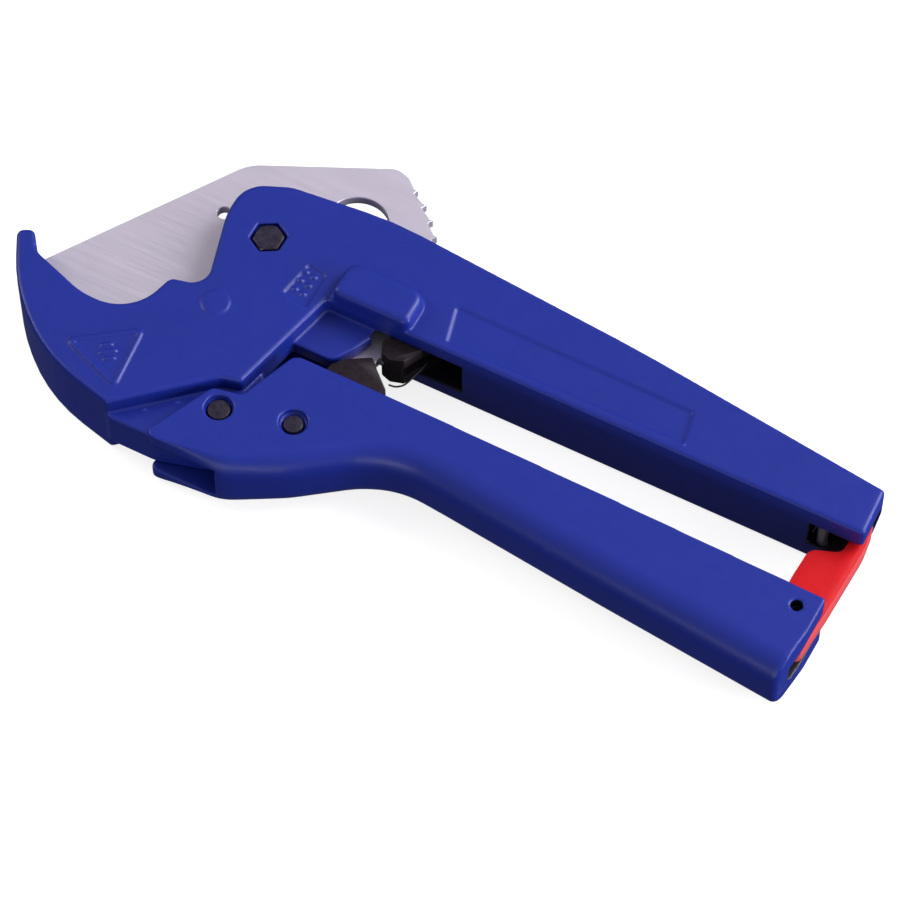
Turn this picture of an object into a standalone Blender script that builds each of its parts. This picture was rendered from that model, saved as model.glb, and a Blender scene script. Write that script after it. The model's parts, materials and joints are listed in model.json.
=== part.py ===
"""Ratcheting cutter for plastic pipe up to 42 mm, lying on its back face, closed and latched.

Outlines are drawn in millimetres in the plane of the blade, from the blade's pivot: X runs along the
handles towards their free end, Y towards the upper handle, and Z is the thickness, 0 at the mid-plane.
"""

import math

import bmesh
import bpy
from mathutils import Matrix, Vector

MM = 0.001
GAP = 0.3
ARC_STEP = math.radians(14)

# Where the blade's pivot stands in the world, in mm
PIVOT_X = -57.8
PIVOT_Y = 13.25
MID_Z = 11.0

# Thicknesses, as half widths from the mid-plane
BODY_HALF = 11.0
WEB_HALF = 6.0
BLADE_HALF = 1.5
BLADE_SLOT_HALF = 1.8
LEVER_HALF = 10.0
FORK_HALF = 6.3
PAWL_HALF = 5.4
PAWL_SLOT_HALF = 1.9
GRIP_ROUNDING = 7.0
GRIP_MIDDLE_Y = -38.0
LATCH_HALF = 3.1
LATCH_SLOT_HALF = 3.5
CATCH_SLOT_HALF = 4.8
BOSS_TOP = 15.3

# Joint axes in the drawing plane
BLADE_AXIS = (0.0, 0.0)
LEVER_AXIS = (13.3, -50.5)
DRIVE_AXIS = (32.0, -45.6)
HOLD_AXIS = (48.6, -3.2)
LATCH_AXIS = (166.8, -34.8)
CATCH_PIN = (161.9, -7.4)
BLADE_STOP = (-11.5, -36.0)

# The latch's hook ends just short of the catch pin's shoulder, in degrees about the latch's axis
HOOK_END = 95.2

# Blade
TOOTH_TIP_R = 43.8
TOOTH_ROOT_R = 42.3
TOOTH_PITCH = math.radians(6.8)
TOOTH_COUNT = 13
TOOTH_LEAN = 0.09 * TOOTH_PITCH
TOOTH_FACE = 0.14 * TOOTH_PITCH
TOOTH_HEEL_R = 43.0
FIRST_TOOTH = math.radians(56.1)
BLADE_SLOT_R = 45.3
RIM_CLEAR_R = 44.2
WEB_RIM_R = 38.3

# Pins and bores, as radii
PIVOT_BOLT_R = 3.0
BUSH_R = 4.8
LEVER_PIN_R = 3.0
DRIVE_PIN_R = 2.6
HOLD_PIN_R = 1.5
ROLL_PIN_R = 1.4
CATCH_PIN_R = 1.45
STOP_PIN_R = 1.5
RUNNING = 0.1
HEX_HEAD_R = 4.25
HEX_POCKET_R = 4.95
HEX_HEIGHT = 3.0
HEX_SUNK = 0.3
BLADE_HOLES = [(-17.1, 6.6, 1.9), (15.3, 19.3, 8.6)]
COUNTERBORE_R = 3.7
COUNTERBORE_DEPTH = 1.6
PIN_END_SUNK = 0.6
PIN_HEAD_SUNK = 1.0
ROLL_PIN_SUNK = 2.6

# Round the pivot bolt: washers either side of the blade, and the pocket of the blade's spring behind it
WASHER_R = 6.5
WASHER_THICKNESS = 0.8
WASHER_POCKET_R = 7.0
SPRING_POCKET_R = 9.8
SPRING_POCKET_LOW = -6.4

# Marks cast on the front face
LABEL_DEPTH = 0.4
TRIANGLE_HEIGHT = 0.4
EJECTOR_MARK = (-2.3, -24.0)
EJECTOR_MARK_R = 3.6
EJECTOR_MARK_HEIGHT = 0.3

# Springs: coil radius and wire radius
BLADE_SPRING = (7.6, 0.55)
LEVER_SPRING = (4.4, 0.5)
DRIVE_SPRING = (3.7, 0.4)
HOLD_SPRING = (2.4, 0.25)

# Cutters that go right through reach this far from the mid-plane
THROUGH = 20.0

BLUE = (0.027, 0.040, 0.300, 1)
DARK_STEEL = (0.040, 0.038, 0.050, 1)
BLADE_STEEL = (0.52, 0.48, 0.56, 1)
SPRING_STEEL = (0.30, 0.30, 0.32, 1)
BRONZE = (0.45, 0.29, 0.12, 1)
RED = (0.62, 0.018, 0.022, 1)


def clear_scene():
    for old in list(bpy.data.objects):
        bpy.data.objects.remove(old, do_unlink=True)


def new_collection(name, hidden=False):
    collection = bpy.data.collections.new(name)
    bpy.context.scene.collection.children.link(collection)
    collection.hide_render = hidden
    return collection


def new_material(name, color, roughness, metallic):
    material = bpy.data.materials.new(name)
    material.use_nodes = True
    shader = material.node_tree.nodes["Principled BSDF"]
    shader.inputs["Base Color"].default_value = color
    shader.inputs["Roughness"].default_value = roughness
    shader.inputs["Metallic"].default_value = metallic
    return material


def on_circle(centre, radius, degrees):
    angle = math.radians(degrees)
    return centre[0] + radius * math.cos(angle), centre[1] + radius * math.sin(angle)


def arc(centre, radius, start, end, step=ARC_STEP):
    """Points on an arc from start to end, in degrees."""
    count = max(2, math.ceil(abs(math.radians(end - start)) / step))
    return [on_circle(centre, radius, start + (end - start) * k / count) for k in range(count + 1)]


def rounded(corners, step=ARC_STEP):
    """The outline of a polygon whose corners (x, y, radius) are rounded off by arcs."""
    points = []
    for i, (x, y, radius) in enumerate(corners):
        corner = Vector((x, y))
        if not radius:
            points.append((x, y))
            continue
        before = (Vector(corners[i - 1][:2]) - corner).normalized()
        after = (Vector(corners[(i + 1) % len(corners)][:2]) - corner).normalized()
        half = before.angle(after) / 2
        centre = corner + (before + after).normalized() * radius / math.sin(half)
        reach = radius / math.tan(half)
        start = corner + before * reach - centre
        end = corner + after * reach - centre
        first = math.atan2(start.y, start.x)
        turn = (math.atan2(end.y, end.x) - first + math.pi) % (2 * math.pi) - math.pi
        count = max(1, math.ceil(abs(turn) / step))
        for k in range(count + 1):
            angle = first + turn * k / count
            points.append((centre.x + radius * math.cos(angle), centre.y + radius * math.sin(angle)))
    return points


def mesh_object(name, bm, collection):
    """Makes an object of a bmesh drawn in mm, with its normals pointing out."""
    bmesh.ops.recalc_face_normals(bm, faces=bm.faces)
    mesh = bpy.data.meshes.new(name)
    bmesh.ops.scale(bm, vec=(MM, MM, MM), verts=bm.verts)
    bm.to_mesh(mesh)
    bm.free()
    obj = bpy.data.objects.new(name, mesh)
    collection.objects.link(obj)
    return obj


def from_curve(name, data, collection, shift=(0, 0, 0), flat_caps=True):
    """Turns a curve drawn in mm into a welded mesh object."""
    guide = bpy.data.objects.new(name + "_guide", data)
    collection.objects.link(guide)
    bpy.context.view_layer.update()
    evaluated = guide.evaluated_get(bpy.context.evaluated_depsgraph_get())
    mesh = bpy.data.meshes.new_from_object(evaluated)
    bpy.data.objects.remove(guide, do_unlink=True)
    bpy.data.curves.remove(data)
    bm = bmesh.new()
    bm.from_mesh(mesh)
    bpy.data.meshes.remove(mesh)
    bmesh.ops.remove_doubles(bm, verts=bm.verts, dist=0.0005)
    if flat_caps:
        caps = [edge for edge in bm.edges if len(edge.link_faces) == 2 and edge.calc_face_angle(1) < 1e-4]
        bmesh.ops.dissolve_edges(bm, edges=caps, use_verts=False)
    bmesh.ops.translate(bm, vec=shift, verts=bm.verts)
    return mesh_object(name, bm, collection)


def plate(name, outline, low, high, collection, holes=()):
    """A flat plate between two heights, with round holes (x, y, radius)."""
    data = bpy.data.curves.new(name, "CURVE")
    data.dimensions = "2D"
    data.fill_mode = "BOTH"
    data.extrude = (high - low) / 2
    loops = [outline] + [arc((x, y), radius, 0, 340, math.radians(20)) for x, y, radius in holes]
    for loop in loops:
        spline = data.splines.new("POLY")
        spline.points.add(len(loop) - 1)
        for point, (x, y) in zip(spline.points, loop):
            point.co = (x, y, 0, 1)
        spline.use_cyclic_u = True
    return from_curve(name, data, collection, (0, 0, (high + low) / 2), flat_caps=not holes)


def rod(name, centre, radius, low, high, collection, segments=24):
    """A round or many-sided rod along Z."""
    bm = bmesh.new()
    place = Matrix.Translation((centre[0], centre[1], (low + high) / 2))
    bmesh.ops.create_cone(
        bm,
        cap_ends=True,
        segments=segments,
        radius1=radius,
        radius2=radius,
        depth=high - low,
        matrix=place,
    )
    return mesh_object(name, bm, collection)


def wedge(name, outline, low_y, high_y, collection):
    """A prism along Y, with its outline drawn as (x, z)."""
    obj = plate(name, outline, -high_y, -low_y, collection)
    obj.data.transform(Matrix.Rotation(math.radians(90), 4, "X"))
    return obj


def wire(name, points, radius, collection):
    """A round wire through points in mm."""
    data = bpy.data.curves.new(name, "CURVE")
    data.dimensions = "3D"
    data.bevel_depth = radius
    data.bevel_resolution = 2
    data.use_fill_caps = True
    spline = data.splines.new("POLY")
    spline.points.add(len(points) - 1)
    for point, (x, y, z) in zip(spline.points, points):
        point.co = (x, y, z, 1)
    return from_curve(name, data, collection, flat_caps=False)


def coil_points(centre, radius, low, pitch, start, turns, per_turn=14):
    """Points along a coil round a Z axis, from the angle start in degrees; negative turns wind clockwise."""
    count = round(abs(turns) * per_turn)
    points = []
    for k in range(count + 1):
        x, y = on_circle(centre, radius, start + 360 * turns * k / count)
        points.append((x, y, low + pitch * abs(turns) * k / count))
    return points


def bevel(obj, width, segments=2, degrees=50):
    modifier = obj.modifiers.new("Bevel", "BEVEL")
    modifier.width = width * MM
    modifier.segments = segments
    modifier.limit_method = "ANGLE"
    modifier.angle_limit = math.radians(degrees)


def round_outer_side(obj, outline, half, radius, share_at):
    """Turns the wall on the -Y side in towards both caps on a quarter circle, by each point's share."""
    shares = []
    for i, (x, y) in enumerate(outline):
        before = outline[i - 1]
        after = outline[(i + 1) % len(outline)]
        normal = Vector((after[1] - before[1], before[0] - after[0])).normalized()
        shares.append((Vector((x, y)), share_at(x, y, normal)))
    bm = bmesh.new()
    bm.from_mesh(obj.data)
    for side in (-1, 1):
        for degrees in (0, 22.5, 45, 67.5):
            height = side * (half - radius + radius * math.sin(math.radians(degrees))) * MM
            geometry = bm.verts[:] + bm.edges[:] + bm.faces[:]
            bmesh.ops.bisect_plane(bm, geom=geometry, dist=1e-6, plane_co=(0, 0, height), plane_no=(0, 0, 1))
    for vertex in bm.verts:
        x, y, z = vertex.co / MM
        share = min(shares, key=lambda pair: (pair[0] - Vector((x, y))).length)[1]
        rise = min(max((abs(z) - half + radius) / radius, 0), 1)
        vertex.co.y += radius * (1 - math.sqrt(1 - rise * rise)) * share * MM
    if bm.calc_volume(signed=True) < 0:
        bmesh.ops.reverse_faces(bm, faces=bm.faces)
    bm.to_mesh(obj.data)
    bm.free()


def combine(obj, others, operation):
    for other in others:
        modifier = obj.modifiers.new(other.name, "BOOLEAN")
        modifier.operation = operation
        modifier.solver = "EXACT"
        modifier.object = other
        other.display_type = "WIRE"
        other.hide_render = True


def cut(obj, others):
    combine(obj, others, "DIFFERENCE")


def join(obj, others):
    combine(obj, others, "UNION")


def finish(obj, material, axis):
    """Moves the origin onto the joint's axis and parents the object to the empty that stands there."""
    obj.data.materials.clear()
    obj.data.materials.append(material)
    obj.data.transform(Matrix.Translation((-axis["at"][0] * MM, -axis["at"][1] * MM, 0)))
    obj.data.shade_smooth()
    obj.data.set_sharp_from_angle(angle=math.radians(35))
    obj.parent = axis["empty"]
    return obj


def helper_shift(objects, axis):
    """Cutters follow the object that they cut."""
    for obj in objects:
        obj.data.transform(Matrix.Translation((-axis["at"][0] * MM, -axis["at"][1] * MM, 0)))
        obj.parent = axis["empty"]


def make_axis(name, at, parent, collection):
    empty = bpy.data.objects.new(name, None)
    empty.empty_display_size = 0.01
    collection.objects.link(empty)
    if parent:
        empty.parent = parent["empty"]
        empty.location = ((at[0] - parent["at"][0]) * MM, (at[1] - parent["at"][1]) * MM, 0)
    else:
        empty.location = ((at[0] + PIVOT_X) * MM, (at[1] + PIVOT_Y) * MM, MID_Z * MM)
    return {"empty": empty, "at": at}


# Outlines

# Full thickness: the jaw from its hook, the head and the upper handle
BODY_CORNERS = [
    (-13.5, 11.8, 8.5),
    (-13.3, 1.5, 20),
    (-7.1, -20.3, 4.8),
    (-16.4, -22.4, 2.5),
    (-20.2, -36.6, 12.5),
    (-34.5, -36.7, 20),
    (-50.7, -31.2, 4),
    (-54.8, -25.6, 1.6),
    (-58.9, -27.7, 1.9),
    (-51.0, -42.3, 52),
    (-34.1, -57.6, 48),
    (-12.2, -62.9, 1.0),
    (9.8, -42.9, 4),
    (14.9, -41.7, 1.2),
    (22.5, -9.7, 0),
    (173.4, -9.7, 1.2),
    (172.8, 4.4, 1.2),
    (100.0, 13.4, 300),
    (26.0, 19.5, 90),
    (-2.0, 16.7, 10),
]

# Half thickness: round the lever's pin, and up to the rim of the blade
WEB_CORNERS = [
    (-30.0, -50.0, 0),
    (-11.5, -63.9, 1.2),
    (1.5, -63.9, 8),
    (13.3, -60.6, 8),
    (23.2, -57.0, 9),
    (22.6, -41.0, 6),
    (16.0, -33.0, 3),
    (16.0, -23.0, 0),
    (30.6, -23.0, 4),
    (34.1, -17.4, 0),
]

LEVER_CORNERS = [
    (-0.2, -65.9, 2),
    (21.5, -66.6, 14),
    (36.0, -58.9, 40),
    (50.5, -48.1, 25),
    (60.5, -43.4, 26),
    (74.0, -44.7, 60),
    (120.4, -49.8, 0),
    (171.0, -54.8, 1.6),
    (172.4, -43.0, 20),
    (172.6, -29.9, 1.2),
    (110.0, -28.6, 0),
    (49.4, -27.8, 0),
    (23.0, -27.8, 3.5),
    (16.8, -44.4, 1.8),
    (9.0, -46.0, 2.5),
]

# The upper handle's end leans in towards the back, as (x, z)
END_SLOPE = [(174.2, 12.0), (171.1, -12.0), (180.0, -12.0), (180.0, 12.0)]

HOLD_POCKET_CORNERS = [
    (30.0, -12.0, 0),
    (61.0, -12.0, 0),
    (61.0, 2.0, 4),
    (56.0, 6.0, 4),
    (38.5, 6.0, 4),
    (37.6, -3.0, 2),
]

LATCH_CORNERS = [
    (172.5, 1.8, 0.8),
    (173.8, -9.0, 20),
    (173.0, -29.0, 15),
    (171.8, -42.5, 2),
    (166.0, -44.4, 3),
    (161.5, -38.0, 8),
    (161.0, -25.0, 30),
    (161.6, -15.4, 3.0),
    (168.9, -12.6, 3.0),
]


def full_body(parts, helpers):
    """The casting's full-thickness outline, its web, and the boss over the holding pawl."""
    body = plate("body_casting", rounded(BODY_CORNERS), -BODY_HALF, BODY_HALF, parts)
    bevel(body, 1.0)
    rim = arc(BLADE_AXIS, WEB_RIM_R, -25.0, -12.0, math.radians(7))
    web_outline = rounded(WEB_CORNERS) + rim + [(37.0, 0.0), (0.0, 0.0)]
    web = plate("web_join", web_outline, -WEB_HALF, WEB_HALF, helpers)
    boss_outline = rounded([(23.4, -9.6, 2.0), (45.6, -9.6, 2.0), (45.6, 1.6, 4.0), (23.4, 1.6, 4.0)])
    boss = plate("boss_join", boss_outline, 0, BOSS_TOP, helpers)
    bevel(boss, 2.0, segments=3)
    mark_top = BODY_HALF + EJECTOR_MARK_HEIGHT
    mark = rod("ejector_mark_join", EJECTOR_MARK, EJECTOR_MARK_R, WEB_HALF, mark_top, helpers)
    triangle_top = BODY_HALF + TRIANGLE_HEIGHT
    triangle_outline = rounded([(-30.8, -51.3, 1.2), (-14.4, -39.3, 1.2), (-12.5, -58.1, 1.2)])
    triangle = plate("triangle_join", triangle_outline, WEB_HALF, triangle_top, helpers)
    join(body, [web, boss, mark, triangle])
    hollow_outline = rounded([(-28.6, -51.1, 0.8), (-15.3, -41.4, 0.8), (-13.8, -56.4, 0.8)])
    hollow = plate("triangle_hollow_cut", hollow_outline, BODY_HALF, THROUGH, helpers)
    cut(body, [hollow])
    return body, [web, boss, mark, triangle, hollow]


def body_cutters(helpers):
    rim = rod("rim_slot_cut", BLADE_AXIS, BLADE_SLOT_R, -BLADE_SLOT_HALF, BLADE_SLOT_HALF, helpers, 64)
    jaw_slot_outline = [(-62, -20), (-56.2, -31.0), (-45, -39.6), (-34, -43.0), (-8, -45.2), (-4, -20)]
    jaw_slot = plate("jaw_slot_cut", jaw_slot_outline, -BLADE_SLOT_HALF, BLADE_SLOT_HALF, helpers)
    join(rim, [jaw_slot])
    bolt_bore = rod("bolt_bore_cut", BLADE_AXIS, PIVOT_BOLT_R + RUNNING, -THROUGH, THROUGH, helpers)
    hex_low = BODY_HALF - HEX_HEIGHT - HEX_SUNK - GAP
    front_hex = rod("front_hex_cut", BLADE_AXIS, HEX_POCKET_R, hex_low, THROUGH, helpers, 6)
    back_hex = rod("back_hex_cut", BLADE_AXIS, HEX_POCKET_R, -THROUGH, -hex_low, helpers, 6)
    washer_top = BLADE_SLOT_HALF + WASHER_THICKNESS + 2 * GAP
    washer_pocket = rod("washer_pocket_cut", BLADE_AXIS, WASHER_POCKET_R, 0, washer_top, helpers)
    spring_pocket = rod("spring_pocket_cut", BLADE_AXIS, SPRING_POCKET_R, SPRING_POCKET_LOW, 0, helpers)
    lever_bore = rod("lever_bore_cut", LEVER_AXIS, LEVER_PIN_R + RUNNING, -THROUGH, THROUGH, helpers, 28)
    lug_pocket = plate(
        "lug_pocket_cut",
        rounded([(4.6, -59.5, 5), (30, -59.5, 0), (30, -43.5, 0), (4.6, -43.5, 5)]),
        -2.6,
        2.6,
        helpers,
    )
    hold_pocket = plate(
        "hold_pocket_cut",
        rounded(HOLD_POCKET_CORNERS),
        -PAWL_HALF - 0.5,
        PAWL_HALF + 0.5,
        helpers,
    )
    hold_bore = rod("hold_bore_cut", HOLD_AXIS, HOLD_PIN_R + RUNNING, -9.0, 9.0, helpers, 16)
    stop_bore = rod("stop_bore_cut", BLADE_STOP, STOP_PIN_R + RUNNING, -8.0, 8.0, helpers, 16)
    latch_slot = plate(
        "latch_slot_cut",
        rounded([(155.5, -12.0, 0), (180, -12.0, 0), (180, 2.4, 0), (155.5, 2.4, 3)]),
        -CATCH_SLOT_HALF,
        CATCH_SLOT_HALF,
        helpers,
    )
    end_slope = wedge("end_slope_cut", END_SLOPE, -15, 10, helpers)
    catch_bore = rod("catch_bore_cut", CATCH_PIN, CATCH_PIN_R + RUNNING, -8.5, 8.5, helpers, 16)
    label = plate(
        "label_recess_cut",
        rounded([(52.6, 3.6, 1), (55.4, -7.6, 1), (122.4, -6.6, 1), (120.4, 3.0, 1)]),
        BODY_HALF - LABEL_DEPTH,
        THROUGH,
        helpers,
    )
    return [
        rim,
        bolt_bore,
        front_hex,
        back_hex,
        washer_pocket,
        spring_pocket,
        lever_bore,
        lug_pocket,
        hold_pocket,
        hold_bore,
        stop_bore,
        latch_slot,
        end_slope,
        catch_bore,
        label,
    ], [jaw_slot]


def make_body(parts, helpers, axis, material):
    body, joined = full_body(parts, helpers)
    cutters, inner = body_cutters(helpers)
    cut(body, cutters)
    helper_shift(joined + cutters + inner, axis)
    return finish(body, material, axis)


def blade_outline():
    """Cutting edge from the tip to the heel, the hidden lower side, the ratchet arc and the spine."""
    edge = [(-53.0, -29.9, 0.4), (-42.0, -38.6, 30), (-20.0, -42.6, 14), (-9.0, -27.0, 8), (-3.0, -21.5, 3)]
    hidden = [(9.0, -17.0, 8), (24.0, -17.5, 12), (37.0, -22.2, 0)]
    teeth = []
    for k in reversed(range(TOOTH_COUNT)):
        tip = FIRST_TOOTH - k * TOOTH_PITCH
        profile = ((TOOTH_ROOT_R, tip - TOOTH_LEAN), (TOOTH_TIP_R, tip), (TOOTH_HEEL_R, tip + TOOTH_FACE))
        for radius, angle in profile:
            teeth.append((radius * math.cos(angle), radius * math.sin(angle), 0))
    back = [(20.5, 38.6, 2.6), (16.5, 39.8, 4.5), (-18.8, 22.9, 12)]
    return rounded(edge + hidden + teeth + back)


def make_blade(parts, axis, material):
    holes = BLADE_HOLES + [(*BLADE_AXIS, BUSH_R + RUNNING)]
    blade = plate("blade", blade_outline(), -BLADE_HALF, BLADE_HALF, parts, holes)
    return finish(blade, material, axis)


def make_pivot_set(parts, helpers, axis, materials):
    """Bolt, nut and bush that the blade turns on, and the washers either side of the bush."""
    head_top = BODY_HALF - HEX_SUNK
    head_low = head_top - HEX_HEIGHT
    bolt = rod("blade_pivot_bolt", BLADE_AXIS, PIVOT_BOLT_R, -BODY_HALF + PIN_END_SUNK, head_low + 0.5, parts)
    head = rod("bolt_head_join", BLADE_AXIS, HEX_HEAD_R, head_low, head_top, helpers, 6)
    bevel(head, 0.35, 1)
    join(bolt, [head])
    helper_shift([head], axis)
    finish(bolt, materials["black"], axis)

    nut = rod("blade_pivot_nut", BLADE_AXIS, HEX_HEAD_R, -head_top, -head_low, parts, 6)
    nut_bore = rod("nut_bore_cut", BLADE_AXIS, PIVOT_BOLT_R + RUNNING, -THROUGH, THROUGH, helpers)
    cut(nut, [nut_bore])
    helper_shift([nut_bore], axis)
    finish(nut, materials["black"], axis)

    bush = rod("blade_bush", BLADE_AXIS, BUSH_R, -BLADE_SLOT_HALF + 0.1, BLADE_SLOT_HALF - 0.1, parts)
    bush_bore = rod("bush_bore_cut", BLADE_AXIS, PIVOT_BOLT_R + RUNNING, -THROUGH, THROUGH, helpers)
    cut(bush, [bush_bore])
    helper_shift([bush_bore], axis)
    finish(bush, materials["bronze"], axis)

    washer_low = BLADE_SLOT_HALF + 0.1
    for name, side in (("front_washer", 1), ("back_washer", -1)):
        low, high = sorted((side * washer_low, side * (washer_low + WASHER_THICKNESS)))
        washer = rod(name, BLADE_AXIS, WASHER_R, low, high, parts)
        washer_bore = rod(name + "_bore_cut", BLADE_AXIS, PIVOT_BOLT_R + RUNNING, -THROUGH, THROUGH, helpers)
        cut(washer, [washer_bore])
        helper_shift([washer_bore], axis)
        finish(washer, materials["spring"], axis)


def lever_rounding(x, y, normal):
    """None on the fork's ears and the inner side, full on the outer side of the hub and grip."""
    if y > GRIP_MIDDLE_Y:
        return 0
    along = min(max((x - 4) / 26, 0), 1)
    facing = min(max((0.3 - normal.y) / 0.6, 0), 1)
    return along * facing


def make_lever(parts, helpers, axis, material):
    """The lower handle: a fork over the web, a channel for the drive pawl, and a slot for the latch."""
    outline = rounded(LEVER_CORNERS)
    lever = plate("ratchet_lever", outline, -LEVER_HALF, LEVER_HALF, parts)
    round_outer_side(lever, outline, LEVER_HALF, GRIP_ROUNDING, lever_rounding)
    bevel(lever, 1.0)
    lever.modifiers.new("Triangulate", "TRIANGULATE")
    fork = plate(
        "fork_cut",
        [(-10, -75), (19.5, -75), (20.5, -61.5), (35.0, -54.2), (50.0, -42.5), (50.0, -20.0), (-10, -20)],
        -FORK_HALF,
        FORK_HALF,
        helpers,
    )
    slot = plate(
        "lever_latch_slot_cut",
        rounded([(154.8, -20, 0), (154.8, -48.2, 3), (180, -48.2, 0), (180, -20, 0)]),
        -LATCH_SLOT_HALF,
        LATCH_SLOT_HALF,
        helpers,
    )
    lever_hole = rod("lever_hole_cut", LEVER_AXIS, LEVER_PIN_R + RUNNING, -THROUGH, THROUGH, helpers, 28)
    drive_hole = rod("drive_hole_cut", DRIVE_AXIS, DRIVE_PIN_R + RUNNING, -THROUGH, THROUGH, helpers, 24)
    roll_hole = rod("roll_hole_cut", LATCH_AXIS, ROLL_PIN_R + RUNNING, -THROUGH, THROUGH, helpers, 16)
    cutters = [fork, slot, lever_hole, drive_hole, roll_hole]
    for k, centre in enumerate((LEVER_AXIS, DRIVE_AXIS)):
        low = LEVER_HALF - COUNTERBORE_DEPTH
        cutters.append(rod(f"counterbore_{k}_cut", centre, COUNTERBORE_R, low, THROUGH, helpers, 28))
    cut(lever, cutters)
    helper_shift(cutters, axis)
    return finish(lever, material, axis)


def pawl(name, outline, nose, hub, pin_radius, axis, parts, helpers, material):
    """Two side plates either side of the blade's rim, joined by the nose that meets the teeth."""
    body = plate(name, outline, -PAWL_HALF, PAWL_HALF, parts)
    rim = rod(name + "_rim_cut", BLADE_AXIS, RIM_CLEAR_R, -PAWL_SLOT_HALF, PAWL_SLOT_HALF, helpers, 96)
    gap = plate(name + "_gap_cut", nose, -PAWL_SLOT_HALF, PAWL_SLOT_HALF, helpers)
    bore = rod(name + "_bore_cut", hub, pin_radius + RUNNING, -THROUGH, THROUGH, helpers, 24)
    cut(body, [rim, gap, bore])
    helper_shift([rim, gap, bore], axis)
    return finish(body, material, axis)


def make_drive_pawl(parts, helpers, axis, material):
    outline = rounded([
        (26.4, -45.0, 5),
        (30.9, -23.4, 0.6),
        (33.6, -20.4, 0.8),
        (39.3, -16.9, 0.8),
        (42.0, -19.6, 1.5),
        (47.3, -24.4, 1.5),
        (39.0, -41.0, 4),
        (36.0, -51.6, 5.2),
        (27.0, -51.6, 5.2),
    ])
    gap = [(20, -56), (45, -56), (45.5, -30), (36.5, -25.5), (20, -25.5)]
    return pawl("drive_pawl", outline, gap, DRIVE_AXIS, DRIVE_PIN_R, axis, parts, helpers, material)


def make_holding_pawl(parts, helpers, axis, material):
    outline = rounded([
        (39.2, -11.2, 0.6),
        (40.6, -14.8, 1.0),
        (43.4, -15.7, 0.8),
        (47.0, -14.6, 1.0),
        (49.6, -9.4, 2),
        (53.0, -5.0, 3),
        (52.0, 1.4, 3),
        (45.6, 1.0, 3),
        (41.0, -8.6, 0.8),
    ])
    gap = [(44.9, 8), (60, 8), (60, -9.0), (51.0, -9.6), (46.9, -20), (46.0, -9.0)]
    return pawl("holding_pawl", outline, gap, HOLD_AXIS, HOLD_PIN_R, axis, parts, helpers, material)


def make_pins(parts, axes, materials):
    black = materials["black"]
    lever = axes["lever"]
    body = axes["body"]
    low = -LEVER_HALF + PIN_END_SUNK
    high = LEVER_HALF - PIN_HEAD_SUNK
    pins = [
        ("lever_pivot_pin", LEVER_AXIS, LEVER_PIN_R, low, high, lever, 28),
        ("drive_pawl_pin", DRIVE_AXIS, DRIVE_PIN_R, low, high, lever, 24),
        ("holding_pawl_pin", HOLD_AXIS, HOLD_PIN_R, -8.7, 8.7, body, 16),
        ("blade_stop_pin", BLADE_STOP, STOP_PIN_R, -7.7, 7.7, body, 16),
        ("latch_catch_pin", CATCH_PIN, CATCH_PIN_R, -8.2, 8.2, body, 16),
    ]
    for name, centre, radius, low, high, axis, segments in pins:
        finish(rod(name, centre, radius, low, high, parts, segments), black, axis)
    roll = rod("latch_pivot_pin", LATCH_AXIS, ROLL_PIN_R, low, LEVER_HALF - ROLL_PIN_SUNK, parts, 16)
    finish(roll, black, lever)


def make_latch(parts, helpers, axis, material):
    """A flat hook: its inner arc is centred on the roll pin, so that it swings clear of the catch pin."""
    reach = math.dist(LATCH_AXIS, CATCH_PIN) + CATCH_PIN_R + GAP
    inner = arc(LATCH_AXIS, reach, 84.5, HOOK_END, math.radians(5))
    outer = arc(LATCH_AXIS, reach + 3.6, HOOK_END, 86.0, math.radians(5))
    outline = rounded(LATCH_CORNERS) + inner + outer
    latch = plate("latch", outline, -LATCH_HALF, LATCH_HALF, parts)
    bevel(latch, 0.4, 1)
    bore = rod("latch_bore_cut", LATCH_AXIS, ROLL_PIN_R + RUNNING, -THROUGH, THROUGH, helpers, 16)
    cut(latch, [bore])
    helper_shift([bore], axis)
    return finish(latch, material, axis)


def make_springs(parts, axes, material):
    radius, wire_radius = BLADE_SPRING
    blade_coil = coil_points(BLADE_AXIS, radius, -5.6, 1.25, 139, 2.6)
    blade_spring = wire("blade_spring", blade_coil, wire_radius, parts)
    finish(blade_spring, material, axes["body"])

    radius, wire_radius = LEVER_SPRING
    lever_coil = coil_points(LEVER_AXIS, radius, -1.5, 1.15, 200, 2.6)
    end = lever_coil[-1]
    lever_leg = [(end[0] + 7.0, end[1] + 1.5, end[2])]
    lever_spring = wire("lever_spring", lever_coil + lever_leg, wire_radius, parts)
    finish(lever_spring, material, axes["body"])

    radius, wire_radius = DRIVE_SPRING
    drive_coil = coil_points(DRIVE_AXIS, radius, -1.2, 0.95, -150, 2.5)
    end = drive_coil[-1]
    drive_leg = [(end[0] + 0.4, end[1] - 3.4, end[2])]
    drive_spring = wire("drive_pawl_spring", drive_coil + drive_leg, wire_radius, parts)
    finish(drive_spring, material, axes["lever"])

    radius, wire_radius = HOLD_SPRING
    hold_coil = coil_points(HOLD_AXIS, radius, -1.2, 0.9, 60, -2.2)
    leg = [(51.3, -8.6, 0.9), (50.0, -14.6, 0.6), (49.0, -17.9, 0.3), (47.1, -19.3, 0.0), (45.2, -19.5, 0.0)]
    hold_spring = wire("holding_pawl_spring", hold_coil + leg, wire_radius, parts)
    finish(hold_spring, material, axes["body"])


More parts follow.
